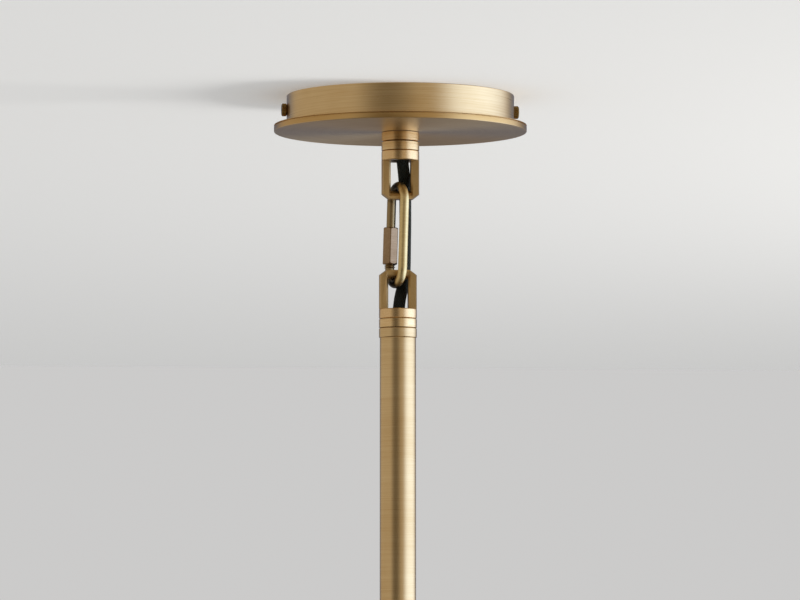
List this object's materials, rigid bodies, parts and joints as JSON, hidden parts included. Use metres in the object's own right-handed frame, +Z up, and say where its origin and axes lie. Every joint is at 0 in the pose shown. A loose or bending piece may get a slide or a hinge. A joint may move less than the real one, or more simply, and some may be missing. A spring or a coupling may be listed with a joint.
{
  "type": "pendant light",
  "caption": "Rise and fall pendant: round ceiling canopy, quick link between two stirrups, telescopic stem, lampholder and dome shade.",
  "frame": {"origin": "centre of the canopy on the ceiling plane, on the strap's upper face", "axes": "+Z up, +X along the row of the two side screws and the stirrups' cross bars, -Y to the front"},
  "size_m": [0.2199, 0.22, 0.6459],
  "materials": {
    "brushed_brass": "burnished and brushed, clear lacquer",
    "dark_brass": "aged, knurled",
    "link_brass": "polished",
    "plain_brass": "plain",
    "zinc_steel": "zinc plated",
    "tinned": "tinned",
    "nickel": "nickel plated",
    "earth_green": "coloured",
    "brown_wire": "PVC",
    "blue_wire": "PVC",
    "white_nylon": "moulded",
    "black_braid": "braided textile",
    "black_lead": "smooth",
    "ceramic": "glazed porcelain",
    "bulb_glass": "clear blown glass",
    "lamp_white": "glass stem",
    "filament": "coated filament"
  },
  "bodies": {
    "ceiling_mount": {"mounting_strap": "zinc_steel", "earth_screw": "earth_green", "earth_tag": "tinned", "canopy_drum": "brushed_brass", "canopy_disc": "brushed_brass", "canopy_screws": "zinc_steel", "canopy_nipple": "zinc_steel", "nipple_washer": "zinc_steel", "nipple_nut": "zinc_steel", "cord_grip": "white_nylon", "terminal_block": "white_nylon", "terminal_screws": "zinc_steel", "live_wire": "brown_wire", "neutral_wire": "blue_wire", "earth_wire": "earth_green", "collar_ring_1": "brushed_brass", "collar_ring_2": "brushed_brass", "upper_stirrup": "brushed_brass", "cord_upper": "black_braid"},
    "side_screw_left": {"side_screw_left": "dark_brass"},
    "side_screw_right": {"side_screw_right": "dark_brass"},
    "link": {"quick_link": "link_brass"},
    "sleeve": {"link_sleeve": "link_brass"},
    "stem": {"lower_stirrup": "brushed_brass", "lower_collar_ring": "brushed_brass", "stem_nipple": "zinc_steel", "stem_plug": "brushed_brass", "outer_tube": "brushed_brass", "mouth_bush": "white_nylon", "clamp_collar": "brushed_brass", "clamp_set_screw": "zinc_steel", "cord_lower": "black_braid", "coiled_lead": "black_lead"},
    "lock": {"lock_screw": "dark_brass", "lock_pad": "white_nylon"},
    "slider": {"inner_tube": "brushed_brass", "piston_bush": "white_nylon", "tube_stub": "brushed_brass", "lamp_lead": "black_lead", "lamp_nipple": "zinc_steel", "holder_cap": "brushed_brass", "holder_shell": "brushed_brass", "holder_core": "ceramic", "holder_screw_shell": "plain_brass", "centre_contact": "plain_brass", "shade_ring": "brushed_brass", "shade": "brushed_brass"},
    "bulb": {"bulb_cap": "nickel", "bulb_glass": "bulb_glass", "bulb_mount": "lamp_white", "bulb_filaments": "filament"}
  },
  "joints": [
    {"name": "side_screw_left_out", "type": "slide", "parent": "ceiling_mount", "child": "side_screw_left", "axis": [-1, 0, 0], "range_m": [0, 0.008]},
    {"name": "side_screw_right_out", "type": "slide", "parent": "ceiling_mount", "child": "side_screw_right", "axis": [1, 0, 0], "range_m": [0, 0.008]},
    {"name": "link_swing", "type": "hinge", "parent": "ceiling_mount", "child": "link", "pos_m": [0, 0, -0.0566], "axis": [1, 0, 0], "range_deg": [-20, 20], "deforming": ["cord_upper"]},
    {"name": "sleeve_travel", "type": "slide", "parent": "link", "child": "sleeve", "axis": [0.0298, 0.01, 0.9995], "range_m": [0, 0.011]},
    {"name": "stem_swing", "type": "hinge", "parent": "link", "child": "stem", "pos_m": [-0.00261, -0.00027, -0.10419], "axis": [0.3173, -0.9483, 0], "range_deg": [-12, 12], "deforming": ["cord_lower"]},
    {"name": "lock_screw_out", "type": "slide", "parent": "stem", "child": "lock", "axis": [1, 0, 0], "range_m": [0, 0.003]},
    {"name": "rise_and_fall", "type": "slide", "parent": "stem", "child": "slider", "axis": [0, 0, 1], "range_m": [-0.1, 0.055], "deforming": ["coiled_lead"]},
    {"name": "bulb_unscrew", "type": "slide", "parent": "slider", "child": "bulb", "axis": [0, 0, 1], "range_m": [-0.024, 0]}
  ]
}
